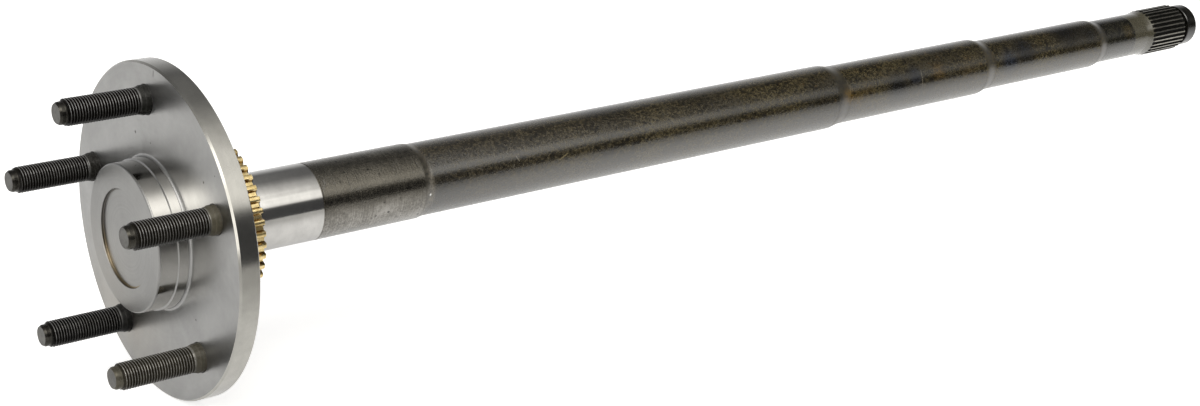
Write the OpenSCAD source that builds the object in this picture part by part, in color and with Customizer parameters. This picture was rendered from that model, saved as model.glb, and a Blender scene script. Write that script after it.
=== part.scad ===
// Semi-floating rear axle shaft with pressed wheel studs and a pressed speed-sensor ring.
// Millimetres. The shaft lies along Y: the studs point to -Y, the splined end to +Y.
// The origin is the centre of the wheel face, and the first stud is straight up at +Z.

/* [Wheel flange] */
// Outside diameter of the wheel flange
flange_d = 177.8; // [168:0.1:200]
// Thickness of the wheel flange
flange_t = 11.2; // [8:0.1:16]
// Chamfer on the rim at the wheel face
rim_chamfer = 1.0; // [0.3:0.1:2]
// Edge break on the rim at the back
rim_back_break = 0.5; // [0.2:0.1:2]

/* [Pilot boss] */
// Diameter of the outer pilot that centres the wheel
wheel_pilot_d = 77.6; // [70:0.1:78.6]
// Diameter of the inner pilot that centres the brake rotor
rotor_pilot_d = 79.2; // [78.2:0.1:90]
// Length of the inner pilot from the wheel face
rotor_pilot_len = 7.0; // [4:0.1:12]
// Length of the whole pilot boss from the wheel face
pilot_len = 17.3; // [14:0.1:30]
// Chamfer between the two pilots
pilot_step = 0.4; // [0.2:0.1:1]
// Chamfer on the front edge of the pilot
pilot_chamfer = 1.0; // [0.3:0.1:2]
// Fillet where the pilot meets the wheel face
pilot_fillet = 1.5; // [0.5:0.1:3]
// Diameter of the shallow recess in the pilot's front face
recess_d = 51.7; // [30:0.1:66]
// Depth of that recess
recess_depth = 1.5; // [0.5:0.1:4]

/* [Hub and ring seat] */
// Height of the shoulder that the ring is pressed against
ring_shoulder = 2.5; // [1:0.1:8]
// Length of the hub from the flange's back to the ring shoulder
hub_len = 16.9; // [8:0.1:30]
// Fillet where the hub meets the flange's back
hub_fillet = 4.0; // [1:0.1:7]
// Diameter of the seat that the ring is pressed on
ring_seat_d = 77.0; // [72:0.1:79]
// Length of the seat past the ring's back face
ring_seat_spare = 1.5; // [1.2:0.1:4]
// Chamfer at the end of the seat
seat_chamfer = 1.0; // [0.3:0.1:1.1]
// Length of the curve from the seat's end down to the journal
hub_curve_len = 9.0; // [4:0.1:16]

/* [Bearing journal and shaft] */
// Diameter of the ground bearing and seal journal
journal_d = 42.6; // [42.6:0.05:50]
// Length of the ground journal
journal_len = 37.7; // [20:0.1:60]
// Width of the grinding relief at the journal's end
relief_w = 0.8; // [0.4:0.1:3]
// Depth of the grinding relief below the first section
relief_depth = 0.25; // [0.1:0.05:1]
// Diameter of the first forged section
root_d = 42.5; // [41.2:0.1:42.6]
// Length of the first forged section
root_len = 63.8; // [30:0.1:120]
// Length of the taper down to the long section
root_taper = 4.9; // [2:0.1:12]
// Diameter of the long section
long_d = 41.0; // [38.2:0.1:42]
// Length of the long section
long_len = 311.0; // [200:0.1:400]
// Length of the taper down to the middle section
long_taper = 11.8; // [4:0.1:30]
// Diameter of the middle section
mid_d = 37.8; // [34:0.1:40.5]
// Length of the middle section
mid_len = 128.6; // [60:0.1:200]
// Length of the taper down to the slim section
mid_taper = 12.0; // [4:0.1:30]
// Diameter of the slim section
slim_d = 33.7; // [30.8:0.1:37]
// Length of the slim section
slim_len = 109.1; // [50:0.1:160]
// Length of the taper down to the neck
slim_taper = 10.6; // [4:0.1:30]
// Diameter of the neck before the spline
neck_d = 30.0; // [26:0.1:30.2]
// Length of the neck
neck_len = 45.5; // [20:0.1:80]

/* [Spline and button end] */
// Length of the ramp from the neck up to the spline
spline_ramp = 7.0; // [2:0.1:12]
// Share of the ramp that stays plain before the grooves begin
plain_ramp_share = 0.7; // [0.2:0.05:0.9]
// Diameter over the spline teeth
spline_d = 32.6; // [31.4:0.1:33.5]
// Diameter at the bottom of the spline grooves
spline_root_d = 30.5; // [30.1:0.1:31.2]
// Length of the full spline
spline_len = 34.6; // [20:0.1:60]
// Number of spline teeth
spline_teeth = 31; // [24:1:34]
// Share of the tooth pitch that the groove takes halfway up the teeth
groove_share = 0.5; // [0.35:0.01:0.6]
// Slope of the groove sides from the radius
groove_angle = 30; // [20:1:40]
// Chamfer at the end of the spline
spline_chamfer = 0.4; // [0.1:0.1:0.8]
// Width of the retaining-clip groove
clip_groove_w = 5.6; // [4.5:0.1:9]
// Diameter at the bottom of the retaining-clip groove
clip_groove_d = 23.0; // [18:0.1:24]
// Diameter of the button past the groove
button_d = 29.4; // [28:0.1:31]
// Length of the button
button_len = 10.4; // [6:0.1:20]
// Rounding of the button's end
button_round = 2.0; // [0.5:0.1:4]
// Edge break of the button at the groove
button_break = 0.4; // [0.2:0.1:1]
// Diameter of the lathe centre countersinks at both ends
centre_d = 11.0; // [6:0.1:14]
// Depth of those countersinks
centre_depth = 7.0; // [3:0.1:10]
// Diameter at the bottom of those countersinks
centre_drill_d = 3.0; // [1:0.1:5]

/* [Wheel studs] */
// Number of wheel studs
stud_count = 5; // [4:1:6]
// Diameter of the circle that the studs stand on
stud_circle = 139.7; // [120:0.1:145]
// Thread diameter of the studs
thread_d = 14.0; // [12:0.1:14.6]
// Diameter of the pressed shoulder
shoulder_d = 15.4; // [14.8:0.1:18]
// Length of the shoulder past the wheel face
shoulder_len = 3.2; // [1:0.1:12]
// Length of the taper from the shoulder to the thread
shoulder_taper = 2.2; // [0.5:0.1:4]
// Length of the stud past the wheel face
stud_len = 48.2; // [36:0.1:70]
// Length of the plain lead before the thread, with its chamfer
lead_len = 4.6; // [3.6:0.1:8]
// Diameter of the plain lead
lead_d = 11.7; // [10.6:0.1:11.9]
// Length of the chamfer from the thread to the lead
lead_taper = 1.6; // [0.5:0.1:2]
// Diameter of the flat at the stud's tip
tip_d = 10.2; // [6:0.1:10.5]
// Length of the chamfer at the stud's tip
tip_chamfer = 1.2; // [0.5:0.1:1.5]
// Diameter of the head behind the flange
head_d = 22.0; // [19:0.1:28]
// Thickness of the head
head_t = 4.5; // [2.5:0.1:8]
// Edge break of the head
head_break = 0.8; // [0.2:0.1:1.5]
// Chamfer around each stud hole at the wheel face
hole_chamfer = 0.4; // [0.1:0.1:1]
// Play between the shoulder and its hole, none on a pressed stud
stud_fit = 0.0; // [0:0.01:0.05]

/* [Sensor ring] */
// Number of teeth on the ring
ring_teeth = 45; // [30:1:60]
// Thickness of the ring under its teeth
ring_wall = 3.5; // [1.5:0.1:8]
// Depth of the gaps between the teeth
ring_tooth_h = 2.5; // [1:0.1:3]
// Length of the ring along the shaft
ring_len = 12.0; // [6:0.1:20]
// Share of the pitch at the tooth's tip
ring_tip_share = 0.34; // [0.2:0.01:0.45]
// Share of the pitch at the tooth's foot
ring_foot_share = 0.62; // [0.5:0.01:0.8]
// Chamfer at both ends of the ring's bore
ring_bore_chamfer = 0.5; // [0.2:0.1:1]
// Play between the ring and its seat, none on a pressed ring
ring_fit = 0.0; // [0:0.01:0.05]

/* [Hidden] */
$fn = 96;
OVER = 1;
ARC = 6;
CURVE = 8;

// Diameters built up from the ring's seat
hub_d = ring_seat_d + 2 * ring_shoulder;
ring_d = ring_seat_d + 2 * (ring_wall + ring_tooth_h);

// Stations along the shaft, counted from the wheel face
hub_end = flange_t + hub_len;
seat_end = hub_end + ring_len + ring_seat_spare;
journal_start = seat_end + hub_curve_len;
journal_end = journal_start + journal_len;
root_start = journal_end + relief_w;
root_end = root_start + root_len;
long_start = root_end + root_taper;
long_end = long_start + long_len;
mid_start = long_end + long_taper;
mid_end = mid_start + mid_len;
slim_start = mid_end + mid_taper;
slim_end = slim_start + slim_len;
neck_start = slim_end + slim_taper;
neck_end = neck_start + neck_len;
groove_start = neck_end + spline_ramp * plain_ramp_share;
spline_start = neck_end + spline_ramp;
spline_end = spline_start + spline_len;
button_start = spline_end + clip_groove_w;
shaft_end = button_start + button_len;

// Spline groove sizes, from the tooth height and the slope of the sides
spline_mid_r = (spline_d + spline_root_d) / 4;
groove_mid_w = 2 * PI * spline_mid_r * groove_share / spline_teeth;
groove_half_h = (spline_d - spline_root_d) / 4;
groove_foot_w = groove_mid_w - 2 * groove_half_h * tan(groove_angle);
groove_top_w = groove_mid_w + 2 * (groove_half_h + OVER) * tan(groove_angle);

// Points of an arc about a centre, from one angle to another
function arc(c, r, from, to) = [
    for (i = [0 : ARC])
        let (a = from + (to - from) * i / ARC)
        [c[0] + r * cos(a), c[1] + r * sin(a)]
];

// Points of a smooth change of radius between two stations, both ends left out
function ease(r0, y0, r1, y1) = [
    for (i = [1 : CURVE - 1])
        let (t = i / CURVE)
        [r0 + (r1 - r0) * t * t * (3 - 2 * t), y0 + (y1 - y0) * t]
];

// Lays a shape that was made along Z along Y, with its X side turned straight up
module along_shaft() {
    rotate([-90, 0, 0]) rotate([0, 0, -90]) children();
}

// Places a shape at the stud with this number
module at_stud(i) {
    rotate([0, 0, 360 * i / stud_count])
        translate([stud_circle / 2, 0, 0]) children();
}

// Pilot boss, flange and hub, as radius and station
function flange_outline() = concat(
    [
        [0, recess_depth - pilot_len],
        [recess_d / 2, recess_depth - pilot_len],
        [recess_d / 2, -pilot_len],
        [wheel_pilot_d / 2 - pilot_chamfer, -pilot_len],
        [wheel_pilot_d / 2, pilot_chamfer - pilot_len],
        [wheel_pilot_d / 2, -rotor_pilot_len],
        [rotor_pilot_d / 2, pilot_step - rotor_pilot_len],
    ],
    arc([rotor_pilot_d / 2 + pilot_fillet, -pilot_fillet], pilot_fillet, 180, 90),
    [
        [flange_d / 2 - rim_chamfer, 0],
        [flange_d / 2, rim_chamfer],
        [flange_d / 2, flange_t - rim_back_break],
        [flange_d / 2 - rim_back_break, flange_t],
    ],
    arc([hub_d / 2 + hub_fillet, flange_t + hub_fillet], hub_fillet, 270, 180),
    [
        [hub_d / 2, hub_end],
        [ring_seat_d / 2, hub_end],
        [ring_seat_d / 2, seat_end - seat_chamfer],
        [ring_seat_d / 2 - seat_chamfer, seat_end],
    ],
    ease(ring_seat_d / 2 - seat_chamfer, seat_end, journal_d / 2, journal_start)
);

// Journal, forged sections, spline blank and button, as radius and station
function shaft_outline() = concat(
    [
        [journal_d / 2, journal_start],
        [journal_d / 2, journal_end],
        [root_d / 2 - relief_depth, journal_end],
        [root_d / 2 - relief_depth, root_start - relief_depth],
        [root_d / 2, root_start],
        [root_d / 2, root_end],
    ],
    ease(root_d / 2, root_end, long_d / 2, long_start),
    [
        [long_d / 2, long_start],
        [long_d / 2, long_end],
    ],
    ease(long_d / 2, long_end, mid_d / 2, mid_start),
    [
        [mid_d / 2, mid_start],
        [mid_d / 2, mid_end],
    ],
    ease(mid_d / 2, mid_end, slim_d / 2, slim_start),
    [
        [slim_d / 2, slim_start],
        [slim_d / 2, slim_end],
    ],
    ease(slim_d / 2, slim_end, neck_d / 2, neck_start),
    [
        [neck_d / 2, neck_start],
        [neck_d / 2, neck_end],
        [spline_d / 2, spline_start],
        [spline_d / 2, spline_end - spline_chamfer],
        [spline_d / 2 - spline_chamfer, spline_end],
        [clip_groove_d / 2, spline_end],
        [clip_groove_d / 2, button_start],
        [button_d / 2 - button_break, button_start],
        [button_d / 2, button_start + button_break],
    ],
    arc([button_d / 2 - button_round, shaft_end - button_round], button_round, 0, 90),
    [
        [0, shaft_end],
    ]
);

// One groove between two spline teeth, from partway up the ramp
module spline_groove() {
    translate([0, 0, groove_start])
        linear_extrude(height = spline_end + clip_groove_w / 2 - groove_start)
            polygon([
                [spline_root_d / 2, -groove_foot_w / 2],
                [spline_d / 2 + OVER, -groove_top_w / 2],
                [spline_d / 2 + OVER, groove_top_w / 2],
                [spline_root_d / 2, groove_foot_w / 2],
            ]);
}

// Lathe centre countersink, opening to -Z at its origin
module lathe_centre() {
    cylinder(d1 = centre_d, d2 = centre_drill_d, h = centre_depth);
}

// Hole for a pressed stud, chamfered at the wheel face
module stud_hole() {
    translate([0, 0, -OVER])
        cylinder(d = shoulder_d + stud_fit, h = flange_t + 2 * OVER);
    cylinder(d1 = shoulder_d + stud_fit + 2 * hole_chamfer, d2 = shoulder_d + stud_fit, h = hole_chamfer);
}

module axle_shaft() {
    color("silver")
        along_shaft()
            difference() {
                rotate_extrude() polygon(concat(flange_outline(), shaft_outline()));
                for (i = [0 : stud_count - 1])
                    at_stud(i) stud_hole();
                for (i = [0 : spline_teeth - 1])
                    rotate([0, 0, 360 * (i + 0.5) / spline_teeth]) spline_groove();
                translate([0, 0, recess_depth - pilot_len]) lathe_centre();
                translate([0, 0, shaft_end]) mirror([0, 0, 1]) lathe_centre();
            }
}

// Sensor ring with straight teeth, against the hub's shoulder
module tone_ring() {
    pitch = 360 / ring_teeth;
    tip_r = ring_d / 2;
    foot_r = ring_d / 2 - ring_tooth_h;
    bore = ring_seat_d + ring_fit;
    color("goldenrod")
        along_shaft()
            translate([0, 0, hub_end])
                difference() {
                    linear_extrude(height = ring_len)
                        polygon([
                            for (i = [0 : ring_teeth - 1])
                                for (corner = [
                                    [foot_r, -ring_foot_share / 2],
                                    [tip_r, -ring_tip_share / 2],
                                    [tip_r, ring_tip_share / 2],
                                    [foot_r, ring_foot_share / 2],
                                ])
                                    let (a = (i + corner[1]) * pitch)
                                    [corner[0] * cos(a), corner[0] * sin(a)]
                        ]);
                    translate([0, 0, -OVER]) cylinder(d = bore, h = ring_len + 2 * OVER);
                    cylinder(d1 = bore + 2 * ring_bore_chamfer, d2 = bore, h = ring_bore_chamfer);
                    translate([0, 0, ring_len - ring_bore_chamfer])
                        cylinder(d1 = bore, d2 = bore + 2 * ring_bore_chamfer, h = ring_bore_chamfer);
                }
}

// One pressed stud: head behind the flange, shoulder through it, thread in front
module stud(i) {
    color("dimgray")
        along_shaft()
            at_stud(i)
                rotate_extrude()
                    polygon([
                        [0, -stud_len],
                        [tip_d / 2, -stud_len],
                        [lead_d / 2, tip_chamfer - stud_len],
                        [lead_d / 2, lead_len - lead_taper - stud_len],
                        [thread_d / 2, lead_len - stud_len],
                        [thread_d / 2, -shoulder_len - shoulder_taper],
                        [shoulder_d / 2, -shoulder_len],
                        [shoulder_d / 2, flange_t],
                        [head_d / 2, flange_t],
                        [head_d / 2, flange_t + head_t - head_break],
                        [head_d / 2 - head_break, flange_t + head_t],
                        [0, flange_t + head_t],
                    ]);
}

axle_shaft();
tone_ring();
for (i = [0 : stud_count - 1])
    stud(i);
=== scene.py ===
"""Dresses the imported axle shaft: fine meshes with threads, teeth and splines, metals, studio and camera.

Meshes are in metres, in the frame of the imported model: the shaft lies along Y, the studs point to -Y,
the origin is the centre of the wheel face and the first stud is straight up at +Z.
Sizes and places are named in millimetres, and tones are linear colours.
"""
import math

import bmesh
import bpy
from mathutils import Matrix, Vector


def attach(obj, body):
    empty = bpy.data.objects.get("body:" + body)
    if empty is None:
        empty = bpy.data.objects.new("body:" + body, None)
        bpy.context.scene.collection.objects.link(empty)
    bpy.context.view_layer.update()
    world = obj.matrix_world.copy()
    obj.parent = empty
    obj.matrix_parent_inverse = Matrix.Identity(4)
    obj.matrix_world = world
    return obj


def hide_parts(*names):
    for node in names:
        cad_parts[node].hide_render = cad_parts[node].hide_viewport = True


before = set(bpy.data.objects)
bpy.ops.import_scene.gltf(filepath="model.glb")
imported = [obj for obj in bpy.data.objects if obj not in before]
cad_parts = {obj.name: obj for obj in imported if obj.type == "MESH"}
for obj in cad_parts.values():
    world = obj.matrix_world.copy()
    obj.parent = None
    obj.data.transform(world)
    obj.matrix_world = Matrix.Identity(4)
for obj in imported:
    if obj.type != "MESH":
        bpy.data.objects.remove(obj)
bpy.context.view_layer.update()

MM = 0.001
TURN = 2 * math.pi

# Sizes of the shaft in millimetres, as in the solids: radii and stations along Y
FLANGE_R = 88.9
FLANGE_T = 11.2
RIM_CHAMFER = 1.0
RIM_BACK_BREAK = 0.5
WHEEL_PILOT_R = 38.8
ROTOR_PILOT_R = 39.6
ROTOR_PILOT_LEN = 7.0
PILOT_LEN = 17.3
PILOT_STEP = 0.4
PILOT_CHAMFER = 1.0
PILOT_FILLET = 1.5
RECESS_R = 25.85
RECESS_DEPTH = 1.5
HUB_R = 41.0
HUB_FILLET = 4.0
RING_SEAT_R = 38.5
RING_START = 28.1
RING_END = 40.1
SEAT_END = 41.6
SEAT_CHAMFER = 1.0
JOURNAL_R = 21.3
JOURNAL_START = 50.6
JOURNAL_END = 88.3
RELIEF_DEPTH = 0.25
NECK_R = 15.0
NECK_END = 786.4
# Forged sections: radius, first station and last station
SECTIONS = [
    (21.25, 89.1, 152.9),
    (20.5, 157.8, 468.8),
    (18.9, 480.6, 609.2),
    (16.85, 621.2, 730.3),
    (NECK_R, 740.9, NECK_END),
]
SPLINE_START = 793.4
SPLINE_END = 828.0
SPLINE_R = 16.3
SPLINE_ROOT_R = 15.25
SPLINE_TEETH = 31
SPLINE_CHAMFER = 0.4
GROOVE_SHARE = 0.5
GROOVE_ANGLE = math.radians(30)
# The grooves run out along an arc on the ramp: where they begin, where they are full,
# how far their floor rises, and the depth from which a face belongs to a groove
GROOVE_BEGIN = 790.6
GROOVE_FULL = 797.0
GROOVE_RISE = 0.9
GROOVE_EDGE = 0.05
CLIP_GROOVE_R = 11.5
BUTTON_START = 833.6
BUTTON_R = 14.7
BUTTON_BREAK = 0.4
BUTTON_ROUND = 2.0
SHAFT_END = 844.0
CENTRE_R = 5.5
CENTRE_DRILL_R = 1.5
CENTRE_DEPTH = 7.0

# Studs in millimetres: distances are counted from the wheel face towards the tip
STUD_COUNT = 5
STUD_CIRCLE_R = 69.85
THREAD_R = 7.0
THREAD_ROOT_R = 6.08
THREAD_PITCH = 1.5
THREAD_CREST_SHARE = 0.125
THREAD_FLANK = math.radians(30)
SHOULDER_R = 7.7
SHOULDER_LEN = 3.2
SHOULDER_TAPER = 2.2
STUD_LEN = 48.2
LEAD_LEN = 4.6
LEAD_R = 5.85
LEAD_TAPER = 1.6
TIP_R = 5.1
TIP_CHAMFER = 1.2
HEAD_R = 11.0
HEAD_T = 4.5
HEAD_BREAK = 0.8
HOLE_CHAMFER = 0.4
# Share of a turn from the start of one stud's thread to the next stud's
STUD_PHASE = 0.37

# Sensor ring in millimetres
RING_TEETH = 45
RING_R = 44.5
RING_TOOTH_H = 2.5
RING_TIP_SHARE = 0.34
RING_FOOT_SHARE = 0.62
# Rounding of a tooth at its tip and foot: share of the half width there, and distance from the tip or foot
RING_TIP_ROUND = [(0.7, 0.0), (1.08, 0.14), (1.22, 0.42)]
RING_FOOT_ROUND = [(0.93, 0.42), (1.02, 0.14), (1.14, 0.0)]

# Small edges in millimetres
RECESS_CORNER = 0.4
RECESS_EDGE = 0.25
JOURNAL_EDGE_R = 0.15
JOURNAL_EDGE_LEN = 0.2
HEAD_FOOT_BREAK = 0.3
SHOULDER_ROUND = 0.6
RING_EDGE = 0.35
RING_BORE_EDGE = 0.5
# Narrow lands beside curves and edges, which keep the shading of the next face flat, in millimetres
CENTRE_LAND = 0.2
RECESS_LAND = 0.1
FILLET_LAND = 0.15
BUTTON_LAND = 0.2
NECK_LAND = 1.0

# Mesh fineness
FLANGE_SEGMENTS = 384
SHAFT_SEGMENTS = 192
STUD_SEGMENTS = 64
TOOTH_POINTS = 14
RUN_OUT_STEPS = 16
ARC_STEPS = 8
SHOULDER_STEPS = 5
EASE_STEPS = 12
HOLD = 0.3
SHARP_ANGLE = math.radians(28)
MERGE = 1e-7
THREAD_MERGE = 1e-6


# Mesh helpers

def circle(r, y, count, centre=(0.0, 0.0)):
    """Points of a circle about the Y direction, the first one straight up, in metres."""
    points = []
    for i in range(count):
        a = TURN * i / count
        points.append(Vector((centre[0] + r * math.sin(a), y, centre[1] + r * math.cos(a))) * MM)
    return points


def arc(centre, r, start, end, steps=ARC_STEPS):
    """Points (radius, station) of an arc in the profile, angles in degrees."""
    out = []
    for i in range(steps + 1):
        a = math.radians(start + (end - start) * i / steps)
        out.append((centre[0] + r * math.cos(a), centre[1] + r * math.sin(a)))
    return out


def ease(r0, y0, r1, y1, steps=EASE_STEPS):
    """Points of a smooth change of radius between two stations, both ends left out."""
    out = []
    for i in range(1, steps):
        t = i / steps
        out.append((r0 + (r1 - r0) * t * t * (3 - 2 * t), y0 + (y1 - y0) * t))
    return out


def held(profile):
    """Adds a point close to each end of every long straight run, so that its smooth shading stays flat."""
    out = [profile[0]]
    for (r0, y0), (r1, y1) in zip(profile, profile[1:]):
        length = math.hypot(r1 - r0, y1 - y0)
        if length > 4 * HOLD:
            t = HOLD / length
            out.append((r0 + (r1 - r0) * t, y0 + (y1 - y0) * t))
            out.append((r1 + (r0 - r1) * t, y1 + (y0 - y1) * t))
        out.append((r1, y1))
    return out


class Builder:
    """Collects rings of points into one mesh with a material number per face."""

    def __init__(self):
        self.bm = bmesh.new()

    def ring(self, points):
        return [self.bm.verts.new(p) for p in points]

    def pole(self, y, centre=(0.0, 0.0)):
        return [self.bm.verts.new(Vector((centre[0], y, centre[1])) * MM)]

    def face(self, verts, material):
        f = self.bm.faces.new(verts)
        f.material_index = material
        f.smooth = True

    def bridge(self, a, b, material):
        """Joins two rings, also with different numbers of points, or a ring and a pole.

        Two rings with the same number of points may have a material for each face between them.
        """
        na, nb = len(a), len(b)
        if na == nb:
            each = material if isinstance(material, list) else [material] * na
            for i in range(na):
                j = (i + 1) % na
                self.face((a[i], a[j], b[j], b[i]), each[i])
            return
        i = j = 0
        while i < na or j < nb:
            step_a = nb == 1 or (i < na and (j >= nb or (i + 1) / na <= (j + 1) / nb))
            if na == 1:
                step_a = False
            if step_a:
                self.face((a[i], a[(i + 1) % na], b[j % nb]), material)
                i += 1
                if nb == 1 and i == na:
                    break
            else:
                self.face((a[i % na], b[(j + 1) % nb], b[j]), material)
                j += 1
                if na == 1 and j == nb:
                    break

    def lathe(self, profile, count, material, centre=(0.0, 0.0), first=None):
        """Turns a profile of (radius, station), from a ring if one is given, and returns its last ring."""
        last = first
        for r, y in held(profile):
            ring = self.pole(y, centre) if r == 0 else self.ring(circle(r, y, count, centre))
            if last is not None:
                self.bridge(last, ring, material)
            last = ring
        return last

    def fill(self, rings, normal, material):
        """Fills the flat area between an outline and the holes in it."""
        edges = []
        for ring in rings:
            for i, v in enumerate(ring):
                w = ring[(i + 1) % len(ring)]
                edges.append(self.bm.edges.get((v, w)) or self.bm.edges.new((v, w)))
        made = bmesh.ops.triangle_fill(self.bm, use_beauty=True, edges=edges, normal=normal)
        for f in made["geom"]:
            if isinstance(f, bmesh.types.BMFace):
                f.material_index = material
                f.smooth = True

    def finish(self, name, materials, node):
        """Makes the mesh into a piece that rides on the part and stands in for a node of the pack."""
        bmesh.ops.remove_doubles(self.bm, verts=self.bm.verts, dist=MERGE)
        bmesh.ops.recalc_face_normals(self.bm, faces=self.bm.faces)
        mesh = bpy.data.meshes.new(name)
        self.bm.to_mesh(mesh)
        self.bm.free()
        for m in materials:
            mesh.materials.append(m)
        mesh.set_sharp_from_angle(angle=SHARP_ANGLE)
        piece = bpy.data.objects.new(name, mesh)
        bpy.context.scene.collection.objects.link(piece)
        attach(piece, "root")
        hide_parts(node)


def stud_centre(i):
    """Place (x, z) of a stud in millimetres."""
    a = TURN * i / STUD_COUNT
    return (STUD_CIRCLE_R * math.sin(a), STUD_CIRCLE_R * math.cos(a))


# Shader helpers

def mm(*values):
    """Turns millimetres into metres."""
    return tuple(v * MM for v in values)


def rad(*values):
    """Turns degrees into radians."""
    return tuple(math.radians(v) for v in values)


def scaled(tone, factor, base=0.0):
    """A tone times a factor, on top of a grey base."""
    return tuple(base + c * factor for c in tone)


class Nodes:
    """A node tree, emptied first, with short calls for its nodes."""

    def __init__(self, tree):
        self.tree = tree
        tree.nodes.clear()

    def put(self, socket, value):
        """Links an output to a socket, or gives the socket a value."""
        if isinstance(value, bpy.types.NodeSocket):
            self.tree.links.new(value, socket)
        elif isinstance(value, tuple) and len(value) == 3 and socket.type == "RGBA":
            socket.default_value = (*value, 1.0)
        else:
            socket.default_value = value

    def node(self, kind, inputs, out=0, **settings):
        """One output of a new node with these settings and inputs."""
        n = self.tree.nodes.new(kind)
        for name, value in settings.items():
            setattr(n, name, value)
        for key, value in inputs.items():
            self.put(n.inputs[key], value)
        return n.outputs[out]

    def show(self, kind, shader):
        """Joins a shader to a new output node of the tree."""
        self.put(self.tree.nodes.new(kind).inputs["Surface"], shader)

    def split(self, vector):
        """X, Y and Z of a vector."""
        n = self.tree.nodes.new("ShaderNodeSeparateXYZ")
        self.put(n.inputs[0], vector)
        return n.outputs

    def math(self, op, a, b=0.0, c=0.0, clamp=False):
        return self.node("ShaderNodeMath", {0: a, 1: b, 2: c}, operation=op, use_clamp=clamp)

    def add(self, a, b):
        return self.math("ADD", a, b)

    def mul(self, a, b):
        return self.math("MULTIPLY", a, b)

    def step(self, value, low, high):
        """Rises smoothly from 0 at low to 1 at high, or falls where low is above high."""
        falls = low > high
        inputs = {
            "Value": value, "From Min": min(low, high), "From Max": max(low, high),
            "To Min": float(falls), "To Max": float(not falls),
        }
        return self.node("ShaderNodeMapRange", inputs, "Result", interpolation_type="SMOOTHSTEP")

    def seen_rays(self):
        """1 for rays of the camera, and 1 for rays of reflections and of see-through surfaces."""
        path = self.tree.nodes.new("ShaderNodeLightPath").outputs
        return path["Is Camera Ray"], self.math("MAXIMUM", path["Is Glossy Ray"], path["Is Transmission Ray"])


class Shader(Nodes):
    """A material with one Principled shader, and with coordinates in the part's frame in metres."""

    def __init__(self, name):
        self.material = bpy.data.materials.new(name)
        self.material.use_nodes = True
        super().__init__(self.material.node_tree)
        self.bsdf = self.tree.nodes.new("ShaderNodeBsdfPrincipled")
        self.show("ShaderNodeOutputMaterial", self.bsdf.outputs["BSDF"])
        self.place = self.node("ShaderNodeTexCoord", {}, "Object")
        self.x, self.y, self.z = self.split(self.place)
        self.radius = self.math("SQRT", self.add(self.mul(self.x, self.x), self.mul(self.z, self.z)))
        self.angle = self.math("ARCTAN2", self.z, self.x)

    def set(self, **values):
        """Fills inputs of the Principled shader. An underscore stands for a space."""
        for name, value in values.items():
            self.put(self.bsdf.inputs[name.replace("_", " ")], value)

    def span(self, value, low, high, soft):
        """1 between low and high, with soft ends."""
        return self.mul(self.step(value, low - soft, low + soft), self.step(value, high + soft, high - soft))

    def turning(self):
        """The direction of tool marks about the shaft's axis."""
        return self.node("ShaderNodeTangent", {}, direction_type="RADIAL", axis="Y")

    def drawn(self, along):
        """Coordinates for noise that is stretched along the shaft where the factor is below 1."""
        return self.node("ShaderNodeCombineXYZ", {0: self.mul(self.y, along), 1: self.x, 2: self.z})

    def noise(self, scale, detail=4.0, rough=0.55, at=None, distortion=0.0):
        inputs = {
            "Vector": at or self.place, "Scale": scale, "Detail": detail, "Roughness": rough,
            "Distortion": distortion,
        }
        return self.node("ShaderNodeTexNoise", inputs, "Fac")

    def lines(self, value, scale, detail=3.0):
        """Noise that changes with one value only, such as the radius on a turned face."""
        inputs = {"W": value, "Scale": scale, "Detail": detail, "Roughness": 0.7}
        return self.node("ShaderNodeTexNoise", inputs, "Fac", noise_dimensions="1D")

    def specks(self, scale, size):
        """Small round spots: 1 inside a spot."""
        inputs = {"Vector": self.place, "Scale": scale, "Randomness": 1.0}
        return self.step(self.node("ShaderNodeTexVoronoi", inputs, "Distance"), size, size * 0.5)

    def near(self, point, radius):
        """1 at a point of the part, 0 at the given distance and beyond, in millimetres."""
        inputs = {0: self.place, 1: mm(*point)}
        away = self.node("ShaderNodeVectorMath", inputs, "Value", operation="DISTANCE")
        return self.step(away, radius * MM, 0.0)

    def stroke(self, u, v, length, width, tilt):
        """A short straight mark about the zero of two coordinates: 1 along it. Millimetres and degrees."""
        c, n = math.cos(math.radians(tilt)), math.sin(math.radians(tilt))
        along = self.math("ABSOLUTE", self.add(self.mul(u, c), self.mul(v, n)))
        across = self.math("ABSOLUTE", self.add(self.mul(u, -n), self.mul(v, c)))
        return self.mul(self.step(along, *mm(length / 2, length / 4)), self.step(across, width * MM, 0.0))

    def mix(self, factor, a, b):
        """A colour between a and b."""
        return self.node("ShaderNodeMix", {0: factor, 6: a, 7: b}, 2, data_type="RGBA")

    def blend(self, factor, a, b):
        """A number between a and b."""
        return self.node("ShaderNodeMix", {0: factor, 2: a, 3: b}, data_type="FLOAT")

    def bump(self, height, depth):
        """Relief of this depth in metres."""
        inputs = {"Strength": 1.0, "Distance": depth, "Height": height}
        return self.node("ShaderNodeBump", inputs, "Normal")


# Materials

TOOL_MARK_DEPTH = 1.1e-6


def turned_steel(name, tone, roughness, along):
    """Bright turned steel with fine tool marks along the radius of a face or along the shaft."""
    s = Shader(name)
    station = s.radius if along == "radius" else s.y
    fine = s.lines(station, 5200.0)
    broad = s.lines(station, 620.0, detail=2.0)
    cloud = s.noise(34.0, detail=5.0, rough=0.6, distortion=0.4)
    film = s.noise(240.0, detail=6.0, rough=0.65)
    shade = s.add(s.mul(cloud, 0.55), s.add(s.mul(fine, 0.25), s.mul(film, 0.2)))
    s.colour = s.mix(s.step(shade, 0.3, 0.7), scaled(tone, 0.84), scaled(tone, 1.16))
    s.rough = s.add(s.blend(broad, roughness * 0.85, roughness * 1.15), s.blend(film, -0.02, 0.02))
    s.relief = s.bump(s.add(fine, s.mul(broad, 0.6)), TOOL_MARK_DEPTH)
    s.set(Metallic=1.0)
    return s


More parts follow.
